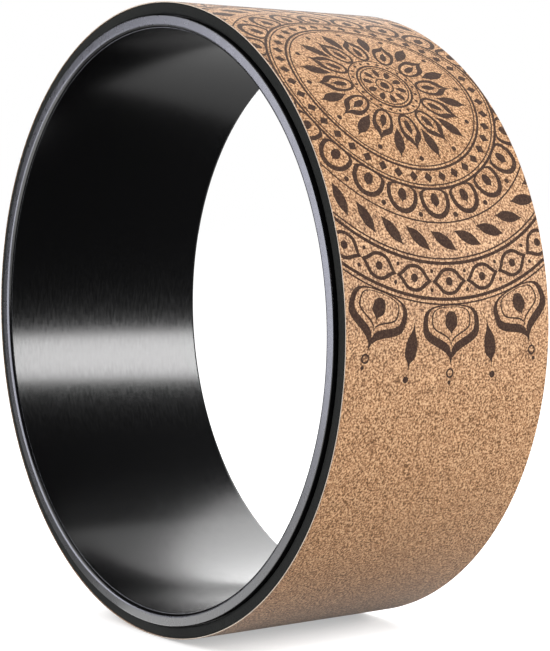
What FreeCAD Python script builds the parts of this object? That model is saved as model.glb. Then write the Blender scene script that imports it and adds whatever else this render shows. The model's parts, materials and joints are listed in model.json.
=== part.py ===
# Yoga wheel, in millimetres: a rigid plastic tube wrapped with a strip of cork-faced foam.
# The wheel stands upright with its axis along Y, and its origin is the middle of that axis.
# Angles are in degrees round the axis, from +X towards +Z.
import FreeCAD, Part
import math
import os

# Overall sizes
wheel_diameter = 330.0
tube_length = 130.0

# Core tube
tube_wall = 6.5
rim_stand_out = 2.0  # how far each end of the tube stands out past the strip
rim_fillet = 0.5  # round along the outer edge of each end
step_height = 0.25  # shallow step in the bore inside each end, across the axis
step_land = 0.2  # straight part of the same step, along the axis
mouth_round = 2.0  # round where the step opens into the end face
ledge_chamfer = 0.1  # where the step meets the bore

# Wrapped strip, from the outside in
cork_thickness = 0.6
foam_thickness = 6.0
glue_thickness = 0.2  # each of the two glue films
glue_inset = 2.0  # how far the glue stays back from the strip's two edges
seam_gap = 0.3  # open width of the butt joint where the strip's ends meet
seam_angle = 226.0

# Sizes that follow from those above
strip_width = tube_length - 2 * rim_stand_out
glue_width = strip_width - 2 * glue_inset
cork_outer = wheel_diameter / 2
cork_inner = cork_outer - cork_thickness
foam_outer = cork_inner - glue_thickness
foam_inner = foam_outer - foam_thickness
tube_outer = foam_inner - glue_thickness
tube_bore = tube_outer - tube_wall
step_bore = tube_bore + step_height
step_depth = mouth_round + step_land
full_turn = 360.0
seam_gap_angle = math.degrees(seam_gap / cork_outer)
mm3_per_cm3 = 1000.0

centre = FreeCAD.Vector(0, 0, 0)
turning_axis = FreeCAD.Vector(0, -1, 0)  # a turn about -Y runs from +X towards +Z


def at(radius, along):
    """A point of a ring's section, at a distance from the axis and a place along it."""
    return FreeCAD.Vector(radius, along, 0)


def line(start, end):
    return Part.LineSegment(start, end).toShape()


def polyline(points):
    return [line(start, end) for start, end in zip(points, points[1:])]


def turned(section_edges, start_angle=0.0, sweep=full_turn):
    """The solid that a closed section makes when it is turned round the axis."""
    face = Part.Face(Part.Wire(Part.__sortEdges__(section_edges)))
    face.rotate(centre, turning_axis, start_angle)
    return face.revolve(centre, turning_axis, sweep)


def edge_round(end, edge, reach):
    """A quarter round between one end face of the tube and a wall at the radius edge.

    end is 1 or -1. reach is the round's size, negative where the wall is the tube's inner one.
    """
    face = end * tube_length / 2
    middle_radius = edge - reach
    middle_along = face - end * abs(reach)
    diagonal = math.sqrt(0.5)
    return Part.Arc(
        at(edge, middle_along),
        at(middle_radius + reach * diagonal, middle_along + end * abs(reach) * diagonal),
        at(middle_radius, face),
    ).toShape()


def end_face(end):
    """The flat end of the tube between its two rounds. end is 1 or -1."""
    face = end * tube_length / 2
    return line(at(tube_outer - rim_fillet, face), at(step_bore + mouth_round, face))


def stepped_mouth(end):
    """One end of the tube from its mouth round to its bore. end is 1 or -1."""
    face = end * tube_length / 2
    ledge = face - end * step_depth
    return polyline(
        [
            at(step_bore, face - end * mouth_round),
            at(step_bore, ledge),
            at(tube_bore + ledge_chamfer, ledge),
            at(tube_bore, ledge - end * ledge_chamfer),
        ]
    )


def core_tube():
    """Rigid tube with flat ends, rounded edges and a shallow step in each mouth."""
    straight_end = tube_length / 2 - rim_fillet
    bore_end = tube_length / 2 - step_depth - ledge_chamfer
    outer_wall = line(at(tube_outer, -straight_end), at(tube_outer, straight_end))
    bore_wall = line(at(tube_bore, bore_end), at(tube_bore, -bore_end))
    edges = [outer_wall, bore_wall]
    for end in (1, -1):
        edges.append(edge_round(end, tube_outer, rim_fillet))
        edges.append(end_face(end))
        edges.append(edge_round(end, step_bore, -mouth_round))
        edges.extend(stepped_mouth(end))
    return turned(edges, seam_angle)


def wrapped_strip(inner, outer, width):
    """A strip bent into a ring, whose two ends face each other across the butt joint."""
    half = width / 2
    corners = [at(inner, -half), at(outer, -half), at(outer, half), at(inner, half)]
    edges = polyline(corners + corners[:1])
    start = seam_angle + seam_gap_angle / 2
    return turned(edges, start, full_turn - seam_gap_angle)


pieces = {
    "core_tube": core_tube(),
    "tube_glue_film": wrapped_strip(tube_outer, foam_inner, glue_width),
    "foam_pad": wrapped_strip(foam_inner, foam_outer, strip_width),
    "cork_glue_film": wrapped_strip(foam_outer, cork_inner, glue_width),
    "cork_cover": wrapped_strip(cork_inner, cork_outer, strip_width),
}

os.makedirs("parts", exist_ok=True)
for name, shape in pieces.items():
    shape.exportStep(f"parts/{name}.step")
    volume = shape.Volume / mm3_per_cm3
    print(f"{name}: {shape.ShapeType}, valid {shape.isValid()}, {volume:.1f} cm3")
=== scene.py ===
# Looks of a cork-faced yoga wheel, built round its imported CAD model. Lengths are in metres.
# The wheel's axis runs along Y through the origin, and angles round it run from +X towards +Z.
import json
import math

import bmesh
import bpy
from bpy.props import FloatProperty, FloatVectorProperty, IntProperty, PointerProperty
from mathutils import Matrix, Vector


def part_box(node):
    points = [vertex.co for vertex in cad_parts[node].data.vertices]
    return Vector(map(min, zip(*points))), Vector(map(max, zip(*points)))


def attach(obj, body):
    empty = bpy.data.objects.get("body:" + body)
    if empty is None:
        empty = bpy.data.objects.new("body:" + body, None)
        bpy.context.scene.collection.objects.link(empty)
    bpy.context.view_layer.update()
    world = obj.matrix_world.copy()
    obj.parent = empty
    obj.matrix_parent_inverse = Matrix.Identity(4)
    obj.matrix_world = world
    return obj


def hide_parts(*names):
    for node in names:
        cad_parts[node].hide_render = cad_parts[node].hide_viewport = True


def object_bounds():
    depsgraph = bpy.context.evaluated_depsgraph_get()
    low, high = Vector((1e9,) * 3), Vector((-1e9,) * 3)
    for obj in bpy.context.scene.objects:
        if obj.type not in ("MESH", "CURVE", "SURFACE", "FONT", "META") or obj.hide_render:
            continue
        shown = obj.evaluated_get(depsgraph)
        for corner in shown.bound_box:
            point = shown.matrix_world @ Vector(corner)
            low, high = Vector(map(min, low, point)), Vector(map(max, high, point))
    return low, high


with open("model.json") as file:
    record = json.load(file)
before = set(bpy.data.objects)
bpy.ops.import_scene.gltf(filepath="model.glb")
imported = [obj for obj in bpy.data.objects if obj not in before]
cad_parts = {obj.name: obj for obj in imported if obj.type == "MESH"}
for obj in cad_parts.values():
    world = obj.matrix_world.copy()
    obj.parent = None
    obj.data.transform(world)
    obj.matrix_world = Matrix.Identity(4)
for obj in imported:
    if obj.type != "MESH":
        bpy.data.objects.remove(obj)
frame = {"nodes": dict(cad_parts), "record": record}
cad_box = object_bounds()

bl_info = {
    "name": "Yoga Wheel",
    "version": (1, 0, 0),
    "blender": (4, 5, 0),
    "location": "3D View > Sidebar > Yoga Wheel",
    "description": "Models and finishes a cork-faced yoga wheel on its CAD frame",
    "category": "Object",
}

MM = 0.001
FULL_TURN = 2 * math.pi
WELD_DISTANCE = 0.001 * MM
ACROSS, ALONG = 2, 1  # axes of the CAD box: Z across the wheel and Y along its axis
WHITE = (1.0, 1.0, 1.0, 1.0)
ROUND_STEPS = 6  # facets across a round that shows from a step away
SMALL_ROUND_STEPS = 3
END_FACING = 0.85  # share of a face's normal along the axis from which it counts as an end face

# The photograph's frame, in pixels, and the camera that was fitted to it
FRAME_HEIGHT = 651
FOCAL_PIXELS = 1937.25
SENSOR_SIZE = 36.0  # of Blender's own millimetres, along the longer side of the frame
CAMERA_AZIMUTH = 54.027
CAMERA_ELEVATION = 3.377
CAMERA_DISTANCE = 1.04575
CAMERA_AIM = (8.27 * MM, 10.99 * MM, -4.21 * MM)


def linear(code):
    """Linear red, green and blue of an sRGB hex colour."""
    channels = [int(code[i:i + 2], 16) / 255 for i in (1, 3, 5)]
    return tuple(c / 12.92 if c <= 0.04045 else ((c + 0.055) / 1.055) ** 2.4 for c in channels)


def node_reach(name, axis):
    """Half of a CAD node's size along an axis. Across the wheel that is its outer radius."""
    low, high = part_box(name)
    return (high[axis] - low[axis]) / 2


def bore_radius():
    """Radius of the bore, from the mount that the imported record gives."""
    for mount in frame["record"]["mounts"]:
        if mount["name"] == "bore":
            return mount["dims"]["r_mm"] * MM
    raise RuntimeError("the record has no bore")


def length(name, description, millimetres):
    """A property that holds a length."""
    return FloatProperty(
        name=name, description=description, default=millimetres * MM, unit="LENGTH", precision=5
    )


def angle(name, description, degrees):
    """A property that holds an angle."""
    return FloatProperty(name=name, description=description, default=math.radians(degrees), subtype="ANGLE")


def colour(name, description, code):
    """A property that holds a colour, given as sRGB hex."""
    return FloatVectorProperty(
        name=name, description=description, default=linear(code), subtype="COLOR", min=0.0, max=1.0
    )


class WheelSizes(bpy.types.PropertyGroup):
    """Sizes of the modelled pieces that the CAD boxes don't give."""

    turn_steps: IntProperty(
        name="Turn steps", description="Facets in one turn of the wheel", default=360, min=48
    )
    rim_fillet: length("Rim fillet", "Round along the outer edge of each tube end", 0.5)
    mouth_round: length("Mouth round", "Where the step opens into the end face", 2.0)
    step_height: length("Step height", "Step inside each end of the bore, across the axis", 0.25)
    step_land: length("Step land", "Straight part of the same step, along the axis", 0.2)
    ledge_chamfer: length("Ledge chamfer", "Where the step meets the bore", 0.1)
    seam_angle: angle("Seam angle", "Where the ends of the foam and of the cork meet", 226.0)
    seam_gap: length("Seam gap", "Open width of the butt joint", 0.3)
    foam_round: length("Foam round", "Soft round on the foam's edges beside the cork", 0.5)
    foam_groove: length("Foam groove", "Wider round on the foam's edges beside the tube", 1.5)
    foam_roughness: length("Foam unevenness", "Depth of the unevenness left by the cutting knife", 0.3)
    cork_round: length("Cork round", "Worn round on the outer edges of the cork strip", 0.16)
    cork_sink: length("Cork sink", "How far the cork's face lies inside the CAD radius", 0.07)
    ornament_sink: length("Ornament sink", "How far the ornament's face lies inside the CAD radius", 0.03)
    ornament_depth: length("Ornament depth", "How deep the burnt ornament goes", 0.15)
    ornament_angle: angle("Ornament angle", "Where the middle of the ornament sits", 46.0)


class WheelColours(bpy.types.PropertyGroup):
    """Colours of the finishes."""

    plastic: colour("Plastic", "Bore and wall of the tube", "#0A0A0B")
    plastic_ends: colour("Plastic ends", "Turned end faces of the tube", "#101012")
    foam: colour("Foam", "Skin of the foam", "#1F201D")
    # painted shade: darker colour in the hollows of the foam's cut cells
    foam_cell_shade: colour("Foam cell", "Inside of the foam's cut cells", "#121311")
    # painted shade: near-black so that the film's edge reads as the dark gap beside the rim
    glue: colour("Glue", "Dried glue film", "#241F1A")
    cork: colour("Cork", "Most of the cork's granules", "#A47955")
    cork_dark: colour("Dark cork", "Bark-side granules", "#604023")
    cork_pale: colour("Pale cork", "Palest granules", "#D1A981")
    # near-white partly as a painted highlight along the strip's edges
    cork_edge_highlight: colour("Cork edge", "Fresh cut along the strip's edges", "#F2E6D6")
    ornament: colour("Ornament", "Burnt lines of the ornament", "#30211D")
    floor: colour("Floor", "Light that the studio floor gives back", "#BABABA")


def sizes():
    return bpy.context.scene.wheel_sizes


def colours():
    return bpy.context.scene.wheel_colours


def clear_selection():
    """Object mode with nothing selected, which each modelling step starts from."""
    active = bpy.context.object
    if active is not None and active.mode != "OBJECT":
        bpy.ops.object.mode_set(mode="OBJECT")
    bpy.ops.object.select_all(action="DESELECT")


def make_active(piece):
    """Selects one piece alone."""
    clear_selection()
    piece.select_set(True)
    bpy.context.view_layer.objects.active = piece


def edit(piece):
    """Edit mode on one piece, with all of it selected."""
    make_active(piece)
    bpy.ops.object.mode_set(mode="EDIT")
    bpy.ops.mesh.select_all(action="SELECT")


def leave_edit():
    bpy.ops.object.mode_set(mode="OBJECT")


def pick(piece, kind, test):
    """In edit mode, selects only the vertices, edges or faces that pass a test."""
    bpy.ops.mesh.select_mode(type=kind)
    bpy.ops.mesh.select_all(action="DESELECT")
    mesh = bmesh.from_edit_mesh(piece.data)
    parts = {"VERT": mesh.verts, "EDGE": mesh.edges, "FACE": mesh.faces}[kind]
    for part in parts:
        part.select_set(test(part))
    mesh.select_flush_mode()
    bmesh.update_edit_mesh(piece.data)


def near(value, target):
    return abs(value - target) < WELD_DISTANCE


def middle(edge):
    """Halfway point of an edge."""
    return (edge.verts[0].co + edge.verts[1].co) / 2


def apply_place(piece):
    """Puts a piece's place, turn and scale into its mesh."""
    make_active(piece)
    bpy.ops.object.transform_apply(location=True, rotation=True, scale=True)


def apply_modifier(piece, name, kind, **settings):
    """Adds a modifier and applies it."""
    make_active(piece)
    modifier = piece.modifiers.new(name, kind)
    for setting, value in settings.items():
        setattr(modifier, setting, value)
    bpy.ops.object.modifier_apply(modifier=name)


def smooth(piece, largest_angle=35.0):
    """Smooth shading that keeps flat faces flat and sharp edges sharp."""
    make_active(piece)
    bpy.ops.object.shade_smooth_by_angle(angle=math.radians(largest_angle))
    apply_modifier(piece, "Even normals", "WEIGHTED_NORMAL", keep_sharp=True, weight=100)


def ring_section(name, inner, outer, half_length):
    """A flat rectangle through one side of a ring, from its inner to its outer radius."""
    clear_selection()
    bpy.ops.mesh.primitive_plane_add(size=1.0, location=((inner + outer) / 2, 0.0, 0.0))
    section = bpy.context.object
    section.name = name
    section.scale = (outer - inner, 2 * half_length, 1.0)
    apply_place(section)
    return section


def bevel_corners(section, offset, segments, test):
    """In edit mode, rounds or chamfers the corners of a flat section that pass a test."""
    pick(section, "VERT", test)
    bpy.ops.mesh.bevel(offset=offset, segments=segments, affect="VERTICES")


def spin_round(section, start=0.0, sweep=FULL_TURN):
    """Spins a section, or its outline, round the wheel's axis into a closed ring."""
    section.rotation_euler = (0.0, -start, 0.0)
    apply_place(section)
    edit(section)
    bpy.ops.mesh.spin(
        steps=sizes().turn_steps,
        angle=sweep,
        center=(0.0, 0.0, 0.0),
        axis=(0.0, 1.0, 0.0),
        use_auto_merge=True,
    )
    bpy.ops.mesh.select_all(action="SELECT")
    bpy.ops.mesh.remove_doubles(threshold=WELD_DISTANCE)
    bpy.ops.mesh.normals_make_consistent(inside=False)
    leave_edit()


def spin_strip(section, outer):
    """Spins a section into a strip whose two ends face each other across the butt joint."""
    gap = sizes().seam_gap / outer
    spin_round(section, sizes().seam_angle + gap / 2, FULL_TURN - gap)


def give_materials(piece, *materials):
    piece.data.materials.clear()
    for material in materials:
        piece.data.materials.append(material)


def finish_ends(piece, slot_index):
    """Gives the faces that look along the wheel's axis another material slot."""
    edit(piece)
    pick(piece, "FACE", lambda face: abs(face.normal.y) > END_FACING)
    piece.active_material_index = slot_index
    bpy.ops.object.material_slot_assign()
    leave_edit()


def declare(piece, slot_name, *nodes):
    """Fixes a piece to the wheel and hides the CAD nodes that it stands for. The finish that it is given is not
    used.
    """
    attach(piece, "root")
    for name in nodes:
        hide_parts(name)


def new_material(name):
    """An empty node material."""
    material = bpy.data.materials.new(name)
    material.use_nodes = True
    material.node_tree.nodes.clear()
    return material


def add_node(tree, kind, inputs=None, stops=None, **settings):
    """Adds a node. inputs gives each socket a value or another node's output, and stops a ramp's colours."""
    node = tree.nodes.new(kind)
    for setting, value in settings.items():
        setattr(node, setting, value)
    for socket, value in (inputs or {}).items():
        if isinstance(value, bpy.types.NodeSocket):
            tree.links.new(value, node.inputs[socket])
        else:
            node.inputs[socket].default_value = value
    if stops:
        ramp = node.color_ramp.elements
        while len(ramp) < len(stops):
            ramp.new(1.0)
        for element, (place, tone) in zip(ramp, stops):
            element.position = place
            element.color = (*tone, 1.0)
    return node


def per_metre(millimetres):
    """Texture scale at which one cell of a pattern is this long."""
    return 1.0 / (millimetres * MM)


MIX_FACTOR, MIX_A, MIX_B, MIX_RESULT = 0, 6, 7, 2  # sockets of a Mix node that mixes colours
RING_SCALE = FULL_TURN / 20  # a Wave texture's rings at scale 1 are this far apart


def object_place(tree):
    return add_node(tree, "ShaderNodeTexCoord").outputs["Object"]


def noise(tree, place, millimetres, detail=2.0):
    """Height of a soft noise whose blotches are about this long."""
    inputs = {"Vector": place, "Scale": per_metre(millimetres), "Detail": detail}
    return add_node(tree, "ShaderNodeTexNoise", inputs).outputs["Fac"]


def spread(tree, value, low, high):
    """Moves the middle of a noise's range to run from low to high."""
    inputs = {"Value": value, "From Min": 0.3, "From Max": 0.7, "To Min": low, "To Max": high}
    return add_node(tree, "ShaderNodeMapRange", inputs).outputs["Result"]


def surface(tree, inputs):
    """A finished surface from the shader's inputs."""
    shader = add_node(tree, "ShaderNodeBsdfPrincipled", inputs)
    add_node(tree, "ShaderNodeOutputMaterial", {"Surface": shader.outputs["BSDF"]})


STREAK_SCALE = (0.2, 1.0, 0.2)  # draws a noise out to five times its length across the axis


def skimmed_abs():
    """Black ABS pipe skimmed on a lathe."""
    # The wall is smooth with a soft gloss. Short streaks round the axis, where the tool passed, and a faint
    # waviness make its reflections wander.
    material = new_material("lathe_skimmed_black_abs")
    tree = material.node_tree
    place = object_place(tree)
    streaks = add_node(tree, "ShaderNodeMapping", {"Vector": place, "Scale": STREAK_SCALE})
    gloss = spread(tree, noise(tree, streaks.outputs["Vector"], 0.9, 3.0), 0.15, 0.21)
    bump = add_node(
        tree,
        "ShaderNodeBump",
        {"Height": noise(tree, place, 14.0), "Distance": 0.03 * MM, "Strength": 0.5},
    )
    surface(
        tree,
        {
            "Base Color": (*colours().plastic, 1.0),
            "Roughness": gloss,
            "IOR": 1.54,
            "Normal": bump.outputs["Normal"],
        },
    )
    return material


def turned_abs():
    """Black ABS cut to length on a lathe."""
    # The tool leaves fine rings that break the gloss into a grey sheen. Real rings are about 0.3 mm apart, too
    # fine to show, and are drawn at 0.9 mm.
    material = new_material("turned_black_abs")
    tree = material.node_tree
    place = object_place(tree)
    rings = add_node(
        tree,
        "ShaderNodeTexWave",
        {"Vector": place, "Scale": RING_SCALE * per_metre(0.9), "Distortion": 1.2, "Detail": 2.0},
        wave_type="RINGS",
        rings_direction="Y",
    ).outputs["Fac"]
    gloss = spread(tree, noise(tree, place, 6.0, 3.0), 0.26, 0.30)
    bump = add_node(tree, "ShaderNodeBump", {"Height": rings, "Distance": 0.02 * MM, "Strength": 0.4})
    surface(
        tree,
        {
            "Base Color": (*colours().plastic_ends, 1.0),
            "Roughness": gloss,
            "IOR": 1.54,
            "Normal": bump.outputs["Normal"],
        },
    )
    return material


def cut_foam():
    """Charcoal closed-cell foam cut with a knife."""
    # The cut opens the cells, so the edge is dull and finely pitted, and the holes are darkened with painted
    # shade. Cells are about 0.4 mm, and are drawn at 0.9 mm.
    material = new_material("knife_cut_closed_cell_foam")
    tree = material.node_tree
    place = object_place(tree)
    cells = add_node(tree, "ShaderNodeTexVoronoi", {"Vector": place, "Scale": per_metre(0.9)})
    # Painted shade in the cells' hollows, where the Voronoi distance is small
    tone = add_node(
        tree,
        "ShaderNodeValToRGB",
        {"Fac": cells.outputs["Distance"]},
        stops=[(0.1, tuple(colours().foam_cell_shade)), (0.45, tuple(colours().foam))],
    )
    bump = add_node(
        tree, "ShaderNodeBump", {"Height": cells.outputs["Distance"], "Distance": 0.25 * MM, "Strength": 0.6}
    )
    surface(
        tree,
        {
            "Base Color": tone.outputs["Color"],
            "Roughness": 0.9,
            "IOR": 1.5,
            "Specular IOR Level": 0.1,
            "Normal": bump.outputs["Normal"],
        },
    )
    return material


def dried_glue():
    """Contact glue rolled on and dried."""
    # It dries to a film with a low gloss and roller blotches. Its near-black tone is painted shade, so that its
    # edge beside the rim reads as the dark gap there.
    material = new_material("dried_contact_glue")
    tree = material.node_tree
    place = object_place(tree)
    blotches = noise(tree, place, 5.0, 3.0)
    # Painted shade: the glue's near-black tone matches the dark gap beside the rim
    tone = Vector(colours().glue)
    ramp = add_node(
        tree,
        "ShaderNodeValToRGB",
        {"Fac": blotches},
        stops=[(0.3, tuple(tone * 0.75)), (0.7, tuple(tone))],
    )
    bump = add_node(tree, "ShaderNodeBump", {"Height": blotches, "Distance": 0.05 * MM, "Strength": 0.5})
    surface(
        tree,
        {
            "Base Color": ramp.outputs["Color"],
            "Roughness": spread(tree, blotches, 0.4, 0.6),
            "IOR": 1.5,
            "Normal": bump.outputs["Normal"],
        },
    )
    return material


def cork_grain(tree, place):
    """Colour and height of ground cork pressed with binder: fine pale and dark granules, some of them bark."""
    granules = noise(tree, place, 1.0, 2.0)
    body = Vector(colours().cork)
    dark = Vector(colours().cork_dark)
    pale = Vector(colours().cork_pale)
    tone = add_node(
        tree,
        "ShaderNodeValToRGB",
        {"Fac": granules},
        stops=[
            (0.37, tuple(dark)),
            (0.435, tuple(dark.lerp(body, 0.6))),
            (0.49, tuple(body)),
            (0.545, tuple(body.lerp(pale, 0.3))),
            (0.61, tuple(pale)),
        ],
    ).outputs["Color"]
    patches = spread(tree, noise(tree, place, 7.0, 3.0), 0.92, 1.08)
    grain = add_node(tree, "ShaderNodeVectorMath", {0: tone, "Scale": patches}, operation="SCALE")
    return grain.outputs["Vector"], granules


# Fuzz that sanding raises on the cork's face, burnt or not
SANDED_FUZZ = {"Sheen Weight": 0.26, "Sheen Roughness": 0.35}


def cork_bump(tree, height, strength):
    inputs = {"Height": height, "Distance": 0.2 * MM, "Strength": strength}
    return add_node(tree, "ShaderNodeBump", inputs).outputs["Normal"]


def pressed_cork():
    """Sheet of agglomerated cork, sanded."""
    # Granules of about 1 mm show as pale and dark specks. Sanding leaves a dull surface with a fine fuzz, which
    # pales where it is seen at a low angle.
    material = new_material("sanded_agglomerated_cork")
    tree = material.node_tree
    place = object_place(tree)
    grain, height = cork_grain(tree, place)
    surface(
        tree,
        {
            "Base Color": grain,
            "Roughness": spread(tree, noise(tree, place, 2.0), 0.55, 0.65),
            "IOR": 1.45,
            "Specular IOR Level": 0.35,
            **SANDED_FUZZ,
            "Normal": cork_bump(tree, height, 0.35),
        },
    )
    return material


def sliced_cork():
    """Edge of the cork strip, sliced with a blade."""
    # The slice is pale cork, drawn near-white partly as a painted highlight along the strip's edges.
    material = new_material("blade_sliced_cork_edge")
    tree = material.node_tree
    place = object_place(tree)
    grain, height = cork_grain(tree, place)
    # Painted highlight: the edge's grain is mixed most of the way towards near-white
    edge = add_node(
        tree,
        "ShaderNodeMix",
        {MIX_FACTOR: 0.75, MIX_A: grain, MIX_B: (*colours().cork_edge_highlight, 1.0)},
        data_type="RGBA",
    ).outputs[MIX_RESULT]
    surface(
        tree,
        {"Base Color": edge, "Roughness": 0.8, "IOR": 1.45, "Normal": cork_bump(tree, height, 0.5)},
    )
    return material


def burnt_cork():
    """Cork scorched by a marking laser."""
    # The scorch is dark brown and dull, with the granules still showing faintly through it.
    material = new_material("laser_burnt_cork")
    tree = material.node_tree
    place = object_place(tree)
    grain, height = cork_grain(tree, place)
    scorch = add_node(
        tree,
        "ShaderNodeMix",
        {
            MIX_FACTOR: spread(tree, noise(tree, place, 0.9), 0.9, 0.99),
            MIX_A: grain,
            MIX_B: (*colours().ornament, 1.0),
        },
        data_type="RGBA",
    ).outputs[MIX_RESULT]
    surface(
        tree,
        {
            "Base Color": scorch,
            "Roughness": 0.85,
            "IOR": 1.45,
            "Specular IOR Level": 0.15,
            **SANDED_FUZZ,
            "Normal": cork_bump(tree, height, 0.35),
        },
    )
    return material


class WHEEL_OT_core_tube(bpy.types.Operator):
    """Models the rigid tube with its stepped mouths and rounded rims"""

    bl_idname = "wheel.core_tube"
    bl_label = "Core Tube"

    def execute(self, context):
        size = sizes()
        bore = bore_radius()
        outer = node_reach("core_tube", ACROSS)
        half = node_reach("core_tube", ALONG)
        step_bore = bore + size.step_height
        ledge = half - size.mouth_round - size.step_land
        tube = ring_section("tube_shell", step_bore, outer, half)

        edit(tube)
        for end in (1, -1):
            bpy.ops.mesh.select_all(action="SELECT")
            bpy.ops.mesh.bisect(plane_co=(0.0, end * ledge, 0.0), plane_no=(0.0, 1.0, 0.0))
        pick(tube, "EDGE", lambda edge: near(middle(edge).x, step_bore) and near(middle(edge).y, 0.0))
        bpy.ops.mesh.extrude_edges_move(TRANSFORM_OT_translate={"value": (-size.step_height, 0.0, 0.0)})
        bpy.ops.mesh.select_mode(type="FACE")
        bpy.ops.mesh.select_all(action="SELECT")
        bpy.ops.mesh.dissolve_faces()
        bevel_corners(tube, size.rim_fillet, ROUND_STEPS, lambda corner: near(corner.co.x, outer))
        bevel_corners(
            tube,
            size.mouth_round,
            ROUND_STEPS,
            lambda corner: near(corner.co.x, step_bore) and near(abs(corner.co.y), half),
        )
        bevel_corners(tube, size.ledge_chamfer, 2, lambda corner: near(corner.co.x, bore))
        bpy.ops.mesh.select_mode(type="FACE")
        bpy.ops.mesh.select_all(action="SELECT")
        bpy.ops.mesh.delete(type="ONLY_FACE")
        leave_edit()

        spin_round(tube)
        give_materials(tube, skimmed_abs(), turned_abs())
        finish_ends(tube, 1)
        smooth(tube)
        declare(tube, "core_plastic", "core_tube")
        return {"FINISHED"}


class WHEEL_OT_foam_pad(bpy.types.Operator):
    """Models the foam strip with soft, slightly uneven cut edges"""

    bl_idname = "wheel.foam_pad"
    bl_label = "Foam Pad"

    EDGE_CUTS = 5  # across each cut edge of the strip, so that it can be uneven
    WANDER_LENGTH = 3.0 * MM  # of the unevenness along the cut

    def execute(self, context):
        size = sizes()
        inner = node_reach("tube_glue_film", ACROSS)
        outer = node_reach("foam_pad", ACROSS)
        half = node_reach("foam_pad", ALONG) - size.foam_roughness / 2
        pad = ring_section("foam_strip", inner, outer, half)

        edit(pad)
        bevel_corners(pad, size.foam_round, 4, lambda corner: near(corner.co.x, outer))
        bevel_corners(pad, size.foam_groove, ROUND_STEPS, lambda corner: near(corner.co.x, inner))
        pick(pad, "EDGE", lambda edge: near(abs(middle(edge).y), half))
        bpy.ops.mesh.subdivide(number_cuts=self.EDGE_CUTS)
        leave_edit()
        spin_strip(pad, outer)
        self.roughen_edges(pad, half)
        give_materials(pad, cut_foam())
        smooth(pad)
        declare(pad, "foam", "foam_pad")
        return {"FINISHED"}

    def roughen_edges(self, pad, half):
        """Leaves the unevenness of a knife cut on the strip's two edges."""
        edges = pad.vertex_groups.new(name="cut_edges")
        edges.add([v.index for v in pad.data.vertices if near(abs(v.co.y), half)], 1.0, "REPLACE")
        wander = bpy.data.textures.new("knife_wander", "CLOUDS")
        wander.noise_scale = self.WANDER_LENGTH
        apply_modifier(
            pad,
            "Knife wander",
            "DISPLACE",
            texture=wander,
            texture_coords="LOCAL",
            vertex_group=edges.name,
            strength=sizes().foam_roughness,
        )


class WHEEL_OT_glue_films(bpy.types.Operator):
    """Finishes the two glue films, whose CAD shape stays"""

    bl_idname = "wheel.glue_films"
    bl_label = "Glue Films"

    def execute(self, context):
        glue = dried_glue()
        for name in ("tube_glue_film", "cork_glue_film"):
            give_materials(frame["nodes"][name], glue)
        return {"FINISHED"}


class WHEEL_OT_cork_cover(bpy.types.Operator):
    """Models the cork strip with its worn edges and its butt joint"""

    bl_idname = "wheel.cork_cover"
    bl_label = "Cork Cover"

    def execute(self, context):
        size = sizes()
        inner = node_reach("cork_glue_film", ACROSS)
        outer = node_reach("cork_cover", ACROSS) - size.cork_sink
        half = node_reach("cork_cover", ALONG)
        cover = ring_section("cork_strip", inner, outer, half)

        edit(cover)
        bevel_corners(cover, size.cork_round, SMALL_ROUND_STEPS, lambda corner: near(corner.co.x, outer))
        leave_edit()
        spin_strip(cover, outer)
        give_materials(cover, pressed_cork(), sliced_cork())
        finish_ends(cover, 1)
        smooth(cover)
        declare(cover, "cork", "cork_cover")
        return {"FINISHED"}


# The ornament is drawn flat round the origin, in millimetres, and then bent round the wheel.
# Each style of point says where a petal's curve leaves it: a share of the petal's length back from the point,
# and a share of its half width to the side.
POINT_STYLES = {"round": (0.0, 0.62), "lens": (0.22, 0.45), "ogee": (0.32, 0.0), "blunt": (0.0, 1.0)}
CURVE_STEPS = 7  # facets along each quarter of a petal's outline
BELLY_HANDLE = 0.28  # reach of the curve at a petal's belly, as a share of the petal's length
RING_FACET = 2.5  # length of a facet of the lines that run all the way round
LEAST_RING_SIDES = 16
DOT_SIDES = 10
DIAMOND_SIDES = 4
SLICE_WIDTH = 4.0 * MM  # of the flat ornament, before it is bent

# Lines that run all the way round: radius and width
RING_LINES = (
    (4.8, 0.8),
    (13.2, 0.7),
    (15.0, 1.2),
    (19.6, 0.7),
    (50.2, 0.7),
    (52.2, 1.3),
    (60.4, 0.7),
    (62.4, 1.4),
    (79.6, 0.8),
    (97.2, 0.8),
    (99.4, 1.6),
    (116.4, 1.6),
    (118.8, 0.8),
)

# Rows of round dots: how many, radius of the row, radius of a dot, and turn as a share of the spacing
DOT_ROWS = (
    (1, 0.0, 2.6, 0.0),
    (20, 17.4, 0.9, 0.0),
    (12, 46.0, 1.4, 0.0),
    (22, 76.2, 1.4, 0.5),
    (32, 107.9, 2.1, 0.0),
    (32, 103.4, 1.0, 0.5),
    (32, 112.4, 1.0, 0.5),
    (18, 155.6, 1.7, 0.5),
    (18, 155.8, 1.0, 0.0),
)

# Rows of small open rings: how many, radius of the row, outer and inner radius of a ring, and turn
LOOP_ROWS = ((18, 151.4, 2.4, 1.5, 0.0),)

# Rows of diamonds: how many, radius of the row, half length, half width, and turn
DIAMOND_ROWS = ((40, 56.3, 2.9, 2.5, 0.0),)

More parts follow.
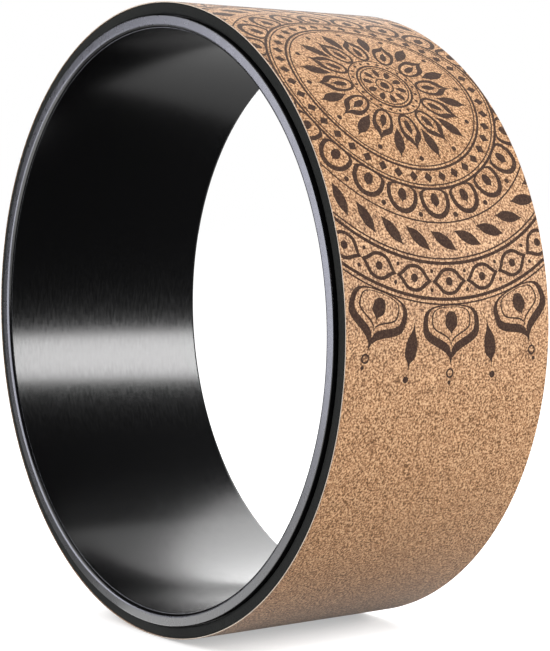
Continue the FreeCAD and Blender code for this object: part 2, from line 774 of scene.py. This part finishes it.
# Rows of petals: how many, turn, and then the outlines. An outline is its foot, its tip, its half width, the
# place of its belly as a share of its length, and the styles of its foot and tip. The second one is cut out.
PETAL_ROWS = (
    (10, 0.0, [(6.0, 12.0, 1.6, 0.6, "lens", "round")]),
    (12, 0.0, [(19.6, 43.0, 5.8, 0.48, "round", "ogee"), (21.2, 37.6, 3.9, 0.46, "round", "ogee")]),
    (12, 0.0, [(23.6, 34.0, 1.7, 0.4, "round", "ogee")]),
    (12, 0.5, [(29.0, 48.8, 2.9, 0.5, "lens", "ogee")]),
    (22, 0.0, [(62.4, 77.8, 9.0, 0.38, "blunt", "round"), (63.0, 75.2, 6.7, 0.38, "blunt", "round")]),
    (22, 0.0, [(64.6, 72.8, 2.5, 0.5, "round", "ogee")]),
    (18, 0.0, [(118.8, 147.4, 17.4, 0.42, "blunt", "ogee"), (119.4, 141.6, 14.4, 0.42, "blunt", "ogee")]),
    (18, 0.0, [(119.8, 138.6, 12.0, 0.42, "blunt", "ogee"), (120.2, 137.4, 11.2, 0.42, "blunt", "ogee")]),
    (18, 0.0, [(122.0, 134.0, 3.8, 0.45, "round", "ogee")]),
    (18, 0.5, [(127.0, 152.6, 3.6, 0.56, "ogee", "ogee")]),
)

# Rows of leaves that lean over: how many, radius of the row, length, half width and lean in degrees
LEAF_ROWS = ((36, 88.4, 17.6, 2.9, 56.0),)

# A chain of eyes laid along a circle: how many, radius, length, half height and width of the line
EYE_ROWS = ((32, 107.9, 21.2, 6.6, 1.7),)


def outline_points(outline):
    """The four points of a petal that lies along +X, each with the handles before and after it."""
    foot, tip, half_width, belly_share, foot_style, tip_style = outline
    span = tip - foot
    belly = foot + belly_share * span
    reach = BELLY_HANDLE * span
    foot_lean, foot_side = POINT_STYLES[foot_style]
    tip_lean, tip_side = POINT_STYLES[tip_style]
    foot_x = foot + foot_lean * span
    foot_y = foot_side * half_width
    tip_x = tip - tip_lean * span
    tip_y = tip_side * half_width
    return (
        ((foot, 0.0), (foot_x, -foot_y), (foot_x, foot_y)),
        ((belly, half_width), (belly - reach, half_width), (belly + reach, half_width)),
        ((tip, 0.0), (tip_x, tip_y), (tip_x, -tip_y)),
        ((belly, -half_width), (belly + reach, -half_width), (belly - reach, -half_width)),
    )


def draw_petal(outlines):
    """A flat petal, as a mesh. Each outline starts as a circle of four points that are moved into place."""
    clear_selection()
    bpy.ops.curve.primitive_bezier_circle_add(radius=MM, enter_editmode=True)
    for _ in outlines[1:]:
        bpy.ops.curve.primitive_bezier_circle_add(radius=MM)
    bpy.ops.object.mode_set(mode="OBJECT")
    petal = bpy.context.object
    petal.data.dimensions = "2D"
    petal.data.fill_mode = "BOTH"
    petal.data.resolution_u = CURVE_STEPS
    for spline, outline in zip(petal.data.splines, outlines):
        for point, (place, before, after) in zip(spline.bezier_points, outline_points(outline)):
            point.handle_left_type = "FREE"
            point.handle_right_type = "FREE"
            point.co = (place[0] * MM, place[1] * MM, 0.0)
            point.handle_left = (before[0] * MM, before[1] * MM, 0.0)
            point.handle_right = (after[0] * MM, after[1] * MM, 0.0)
    make_active(petal)
    bpy.ops.object.convert(target="MESH")
    return bpy.context.object


def copy_round(motif, count, turn_share):
    """Copies a flat motif round the origin at even spacing."""
    motif.rotation_euler = (0.0, 0.0, turn_share * FULL_TURN / count)
    apply_place(motif)
    if count > 1:
        edit(motif)
        bpy.ops.mesh.spin(
            steps=count - 1,
            dupli=True,
            angle=FULL_TURN * (count - 1) / count,
            center=(0.0, 0.0, 0.0),
            axis=(0.0, 0.0, 1.0),
        )
        leave_edit()
    return motif


def draw_disc(sides, radius, half_length, half_width):
    """A flat filled disc of few sides on the X axis."""
    clear_selection()
    bpy.ops.mesh.primitive_circle_add(
        vertices=sides, radius=1.0, fill_type="NGON", location=(radius * MM, 0.0, 0.0)
    )
    disc = bpy.context.object
    disc.scale = (half_length * MM, half_width * MM, 1.0)
    apply_place(disc)
    return disc


def draw_ring(sides, radius, inner, outer):
    """A flat ring on the X axis, from its inner circle outwards."""
    clear_selection()
    place = (radius * MM, 0.0, 0.0)
    bpy.ops.mesh.primitive_circle_add(
        vertices=sides, radius=inner * MM, fill_type="NOTHING", location=place
    )
    ring = bpy.context.object
    edit(ring)
    bpy.ops.mesh.extrude_edges_move()
    widen = outer / inner
    bpy.ops.transform.resize(value=(widen, widen, 1.0), center_override=place)
    leave_edit()
    apply_place(ring)
    return ring


def draw_leaf(radius, span, half_width, lean):
    """A leaf whose middle is on the X axis, leaning over by an angle."""
    leaf = draw_petal([(-span / 2, span / 2, half_width, 0.5, "lens", "lens")])
    leaf.rotation_euler = (0.0, 0.0, math.radians(lean))
    leaf.location = (radius * MM, 0.0, 0.0)
    apply_place(leaf)
    return leaf


def draw_eye(radius, span, half_height, line):
    """An open eye that lies along the circle of its row."""
    slant = line * span / (2 * half_height)
    outlines = [
        (-span / 2, span / 2, half_height, 0.5, "lens", "lens"),
        (slant - span / 2, span / 2 - slant, half_height - line, 0.5, "lens", "lens"),
    ]
    eye = draw_petal(outlines)
    eye.rotation_euler = (0.0, 0.0, math.radians(90.0))
    eye.location = (radius * MM, 0.0, 0.0)
    apply_place(eye)
    return eye


def flat_ornament():
    """Draws every row of the ornament and joins them into one flat mesh."""
    motifs = []
    for radius, width in RING_LINES:
        sides = max(LEAST_RING_SIDES, round(FULL_TURN * radius / RING_FACET))
        motifs.append(draw_ring(sides, 0.0, radius - width / 2, radius + width / 2))
    for count, radius, size, turn in DOT_ROWS:
        motifs.append(copy_round(draw_disc(DOT_SIDES, radius, size, size), count, turn))
    for count, radius, outer, inner, turn in LOOP_ROWS:
        motifs.append(copy_round(draw_ring(LEAST_RING_SIDES, radius, inner, outer), count, turn))
    for count, radius, half_length, half_width, turn in DIAMOND_ROWS:
        diamond = draw_disc(DIAMOND_SIDES, radius, half_length, half_width)
        motifs.append(copy_round(diamond, count, turn))
    for count, turn, outlines in PETAL_ROWS:
        motifs.append(copy_round(draw_petal(outlines), count, turn))
    for count, radius, span, half_width, lean in LEAF_ROWS:
        motifs.append(copy_round(draw_leaf(radius, span, half_width, lean), count, 0.0))
    for count, radius, span, half_height, line in EYE_ROWS:
        motifs.append(copy_round(draw_eye(radius, span, half_height, line), count, 0.0))
    make_active(motifs[0])
    for motif in motifs:
        motif.select_set(True)
    bpy.ops.object.join()
    ornament = bpy.context.object
    ornament.name = "burnt_ornament"
    edit(ornament)
    pick(ornament, "FACE", lambda face: face.normal.z < 0.0)
    bpy.ops.mesh.flip_normals()
    leave_edit()
    return ornament


def cut_flat(ornament, half_width):
    """Trims the flat ornament to the strip's width, and slices it so that it can bend."""
    edit(ornament)
    for side in (1, -1):
        bpy.ops.mesh.select_all(action="SELECT")
        bpy.ops.mesh.bisect(
            plane_co=(0.0, side * half_width, 0.0), plane_no=(0.0, side, 0.0), clear_outer=True
        )
    reach = max(abs(v.co.x) for v in bmesh.from_edit_mesh(ornament.data).verts)
    slices = math.ceil(reach / SLICE_WIDTH)
    for i in range(-slices, slices + 1):
        bpy.ops.mesh.select_all(action="SELECT")
        bpy.ops.mesh.bisect(plane_co=(i * SLICE_WIDTH, 0.0, 0.0), plane_no=(1.0, 0.0, 0.0))
    leave_edit()


def bend_round(ornament, radius, place_angle):
    """Bends the flat ornament round the wheel, and turns its middle to an angle."""
    ornament.rotation_euler = (math.radians(90.0), 0.0, 0.0)
    apply_place(ornament)
    bend = ornament.dimensions.x / radius
    apply_modifier(ornament, "Bend", "SIMPLE_DEFORM", deform_method="BEND", deform_axis="Z", angle=bend)
    ornament.location = (0.0, -radius, 0.0)
    apply_place(ornament)
    ornament.rotation_euler = (math.radians(-90.0), 0.0, 0.0)
    apply_place(ornament)
    ornament.rotation_euler = (0.0, math.radians(90.0) - place_angle, 0.0)
    apply_place(ornament)


class WHEEL_OT_ornament(bpy.types.Operator):
    """Draws a generic round ornament flat, and bends it into the face of the cork"""

    bl_idname = "wheel.ornament"
    bl_label = "Ornament"

    def execute(self, context):
        size = sizes()
        radius = node_reach("cork_cover", ACROSS) - size.ornament_sink
        half_width = node_reach("cork_cover", ALONG) - 2 * size.cork_round
        ornament = flat_ornament()
        cut_flat(ornament, half_width)
        bend_round(ornament, radius, size.ornament_angle)
        apply_modifier(ornament, "Depth", "SOLIDIFY", thickness=size.ornament_depth, offset=-1.0)
        give_materials(ornament, burnt_cork())
        smooth(ornament)
        declare(ornament, "cork")
        return {"FINISHED"}


def around(azimuth, elevation, distance):
    """A point round the wheel's middle. Azimuth is 0 at -Y and 90 at +X, in degrees."""
    a = math.radians(azimuth)
    e = math.radians(elevation)
    return Vector((math.sin(a) * math.cos(e), -math.cos(a) * math.cos(e), math.sin(e))) * distance


def facing(place, aim):
    """The turn of a lamp or camera that looks from a place at an aim."""
    return (Vector(aim) - Vector(place)).to_track_quat("-Z", "Y").to_euler()


# Lamps: azimuth, elevation and distance round the wheel, point aimed at, shape, width, height and watts
MIDDLE = (0.0, 0.0, 0.0)
LAMPS = {
    "key_panel": (123.0, 15.35, 1.3, MIDDLE, "RECTANGLE", 1.27, 0.38, 20.6),
    "front_panel": (-20.0, 35.0, 1.3, MIDDLE, "RECTANGLE", 1.2, 0.8, 9.8),
    "top_panel": (-150.0, 72.0, 1.3, MIDDLE, "RECTANGLE", 0.9, 0.9, 12.0),
    "back_panel": (-139.2, 20.0, 0.55, (-0.485, -0.078, 0.093), "ELLIPSE", 0.565, 0.35, 2.0),
}
UNMIRRORED_LAMPS = ("top_panel",)  # lamps that don't show in the gloss of the wheel
AMBIENT = 0.3  # strength of the even light from all round
FLOOR_SIZE = 30.0
FLOOR_GLOW = 1.0  # how much of the floor's white is its own
PAINTED_SHADOW_REACH = 18 * MM  # how far from the wheel the painted shadow starts to dim the floor's own white
PAINTED_SHADOW_DEPTH = 0.6  # how much of that white the deepest painted shadow takes
CURTAIN_SIDES = 144
CURTAIN_RADIUS = 1.6
CURTAIN_HEIGHT = 3.2
CURTAIN_SPAN = (-100.0, 196.0)  # azimuths between which the dark curtain hangs round the wheel
CURTAIN_GLOW = 0.02
# Cards on the floor, which only the gloss mirrors: middle, size, turn in degrees and how bright they look.
# Each lies on those before it.
CARDS = {
    "dark_floor_card": ((-0.58, 1.24), (4.56, 2.62), 0.0, 0.02),
    "grey_floor_card": ((-0.119, 0.83), (0.68, 1.2), -35.0, 0.6),
    "shade_floor_card": ((-0.97, -0.94), (1.66, 1.73), 0.0, 0.5),
    "white_floor_card": ((-0.152, -0.452), (0.35, 0.8), -41.0, 3.3),
}
CARD_LIFT = 0.1 * MM
# Card that stands in front, whose end shows in the rim: azimuth, elevation, distance, width, height, how
# bright it looks and its tint
RIM_CARD = (-15.0, 5.0, 0.8, 1.24, 0.46, 9.0, "#EEEFFF")


def seen_directly(tree):
    """1 where the camera, a reflection or a clear material looks, and 0 where light is gathered."""
    path = add_node(tree, "ShaderNodeLightPath").outputs
    sharp = add_node(
        tree, "ShaderNodeMath", {0: path["Is Camera Ray"], 1: path["Is Glossy Ray"]}, operation="ADD"
    ).outputs["Value"]
    return add_node(
        tree, "ShaderNodeMath", {0: sharp, 1: path["Is Transmission Ray"]}, operation="ADD", use_clamp=True
    ).outputs["Value"]


def white_surroundings():
    """A white studio all round, which lights the wheel less than it shows."""
    world = bpy.data.worlds.new("white_studio")
    world.use_nodes = True
    tree = world.node_tree
    tree.nodes.clear()
    seen = add_node(tree, "ShaderNodeBackground", {"Color": WHITE, "Strength": 1.0})
    light = add_node(tree, "ShaderNodeBackground", {"Color": WHITE, "Strength": AMBIENT})
    mixed = add_node(
        tree,
        "ShaderNodeMixShader",
        {0: seen_directly(tree), 1: light.outputs["Background"], 2: seen.outputs["Background"]},
    )
    add_node(tree, "ShaderNodeOutputWorld", {"Surface": mixed.outputs["Shader"]})
    bpy.context.scene.world = world


def studio_paper():
    """White paper floor that runs into the white surroundings, with the wheel's real shadow on its lit paper
    and a painted shadow close to the wheel.
    """
    # What is seen of it is mostly its own white, which is dimmed close to the wheel as a painted shadow. It
    # gives less light back.
    material = new_material("white_studio_paper")
    tree = material.node_tree
    # Painted shadow: ambient occlusion dims the floor's own white near the wheel
    open_sky = add_node(tree, "ShaderNodeAmbientOcclusion", {"Distance": PAINTED_SHADOW_REACH}, samples=16)
    painted_shadow_white = FLOOR_GLOW * (1.0 - PAINTED_SHADOW_DEPTH)
    white = add_node(
        tree,
        "ShaderNodeMapRange",
        {"Value": open_sky.outputs["AO"], "To Min": painted_shadow_white, "To Max": FLOOR_GLOW},
    )
    glow = add_node(
        tree, "ShaderNodeMath", {0: white.outputs["Result"], 1: seen_directly(tree)}, operation="MULTIPLY"
    )
    paper = add_node(tree, "ShaderNodeBsdfDiffuse", {"Color": (*colours().floor, 1.0)})
    own = add_node(tree, "ShaderNodeEmission", {"Color": WHITE, "Strength": glow.outputs["Value"]})
    both = add_node(tree, "ShaderNodeAddShader", {0: paper.outputs["BSDF"], 1: own.outputs["Emission"]})
    add_node(tree, "ShaderNodeOutputMaterial", {"Surface": both.outputs["Shader"]})
    return material


def studio_card(glow, tint="#FFFFFF"):
    """Card or curtain as the camera's exposure sees it: a plain tone, from black to brighter than white."""
    material = new_material("studio_card")
    tree = material.node_tree
    card = add_node(tree, "ShaderNodeEmission", {"Color": (*linear(tint), 1.0), "Strength": glow})
    add_node(tree, "ShaderNodeOutputMaterial", {"Surface": card.outputs["Emission"]})
    return material


def only_mirrored(card):
    """Lets a card or curtain show in reflections alone."""
    card.visible_camera = False
    card.visible_diffuse = False
    card.visible_transmission = False
    card.visible_volume_scatter = False
    card.visible_shadow = False


class WHEEL_OT_stage(bpy.types.Operator):
    """Sets up the floor, the white surroundings, the lamps and the camera"""

    bl_idname = "wheel.stage"
    bl_label = "Stage"

    def execute(self, context):
        context.scene.view_settings.view_transform = "Standard"
        white_surroundings()
        self.add_floor()
        for layer, (name, card) in enumerate(CARDS.items(), 1):
            self.lay_card(name, layer * CARD_LIFT, *card)
        self.stand_card("white_rim_card", *RIM_CARD)
        self.hang_curtain()
        for name, lamp in LAMPS.items():
            self.add_lamp(name, *lamp)
        self.add_camera(context.scene)
        return {"FINISHED"}

    def add_floor(self):
        clear_selection()
        bpy.ops.mesh.primitive_plane_add(size=FLOOR_SIZE, location=(0.0, 0.0, cad_box[0][2]))
        floor = bpy.context.object
        floor.name = "studio_floor"
        give_materials(floor, studio_paper())

    def lay_card(self, name, lift, place, size, turn, glow):
        """Lays a card on the floor, which only the gloss of the wheel mirrors."""
        clear_selection()
        bpy.ops.mesh.primitive_plane_add(
            size=1.0, location=(*place, cad_box[0][2] + lift), rotation=(0.0, 0.0, math.radians(turn))
        )
        card = bpy.context.object
        card.name = name
        card.scale = (*size, 1.0)
        apply_place(card)
        give_materials(card, studio_card(glow))
        only_mirrored(card)

    def stand_card(self, name, azimuth, elevation, distance, width, height, glow, tint):
        """Stands a card facing the wheel, which only the gloss of the wheel mirrors."""
        place = around(azimuth, elevation, distance)
        clear_selection()
        bpy.ops.mesh.primitive_plane_add(size=1.0, location=place, rotation=facing(place, MIDDLE))
        card = bpy.context.object
        card.name = name
        card.scale = (width, height, 1.0)
        apply_place(card)
        give_materials(card, studio_card(glow, tint))
        only_mirrored(card)

    def hang_curtain(self):
        """Hangs a dark curtain most of the way round, which only the gloss of the wheel mirrors."""
        clear_selection()
        bpy.ops.mesh.primitive_cylinder_add(
            vertices=CURTAIN_SIDES,
            radius=CURTAIN_RADIUS,
            depth=CURTAIN_HEIGHT,
            end_fill_type="NOTHING",
            location=(0.0, 0.0, cad_box[0][2] + CURTAIN_HEIGHT / 2),
        )
        curtain = bpy.context.object
        curtain.name = "dark_curtain"
        edit(curtain)
        first, last = CURTAIN_SPAN

        def outside(face):
            middle_point = face.calc_center_median()
            azimuth = math.degrees(math.atan2(middle_point.x, -middle_point.y))
            return (azimuth - first) % 360 > last - first

        pick(curtain, "FACE", outside)
        bpy.ops.mesh.delete(type="FACE")
        leave_edit()
        give_materials(curtain, studio_card(CURTAIN_GLOW))
        only_mirrored(curtain)

    def add_lamp(self, name, azimuth, elevation, distance, aim, shape, width, height, power):
        place = around(azimuth, elevation, distance)
        clear_selection()
        bpy.ops.object.light_add(type="AREA", location=place, rotation=facing(place, aim))
        lamp = bpy.context.object
        lamp.name = name
        lamp.visible_camera = False
        lamp.visible_glossy = name not in UNMIRRORED_LAMPS
        lamp.data.shape = shape
        lamp.data.size = width
        lamp.data.size_y = height
        lamp.data.energy = power

    def add_camera(self, scene):
        aim = Vector(CAMERA_AIM)
        place = aim + around(CAMERA_AZIMUTH, CAMERA_ELEVATION, CAMERA_DISTANCE)
        clear_selection()
        bpy.ops.object.camera_add(location=place, rotation=facing(place, aim))
        camera = bpy.context.object
        camera.data.sensor_width = SENSOR_SIZE
        camera.data.lens = FOCAL_PIXELS * SENSOR_SIZE / FRAME_HEIGHT
        scene.camera = camera


class VIEW3D_PT_yoga_wheel(bpy.types.Panel):
    """Lists the wheel's pieces, sizes and colours"""

    bl_label = "Yoga Wheel"
    bl_space_type = "VIEW_3D"
    bl_region_type = "UI"
    bl_category = "Yoga Wheel"

    def draw(self, context):
        for operator in OPERATORS:
            self.layout.operator(operator.bl_idname)
        for group in (context.scene.wheel_sizes, context.scene.wheel_colours):
            column = self.layout.column()
            for name in group.__annotations__:
                column.prop(group, name)


OPERATORS = (
    WHEEL_OT_core_tube,
    WHEEL_OT_foam_pad,
    WHEEL_OT_glue_films,
    WHEEL_OT_cork_cover,
    WHEEL_OT_ornament,
    WHEEL_OT_stage,
)
CLASSES = (WheelSizes, WheelColours, *OPERATORS, VIEW3D_PT_yoga_wheel)


def register():
    for each in CLASSES:
        bpy.utils.register_class(each)
    bpy.types.Scene.wheel_sizes = PointerProperty(type=WheelSizes)
    bpy.types.Scene.wheel_colours = PointerProperty(type=WheelColours)


def unregister():
    del bpy.types.Scene.wheel_colours
    del bpy.types.Scene.wheel_sizes
    for each in reversed(CLASSES):
        bpy.utils.unregister_class(each)


def main():
    register()
    bpy.ops.wheel.core_tube()
    bpy.ops.wheel.foam_pad()
    bpy.ops.wheel.glue_films()
    bpy.ops.wheel.cork_cover()
    bpy.ops.wheel.ornament()
    bpy.ops.wheel.stage()


if __name__ == "__main__":
    main()
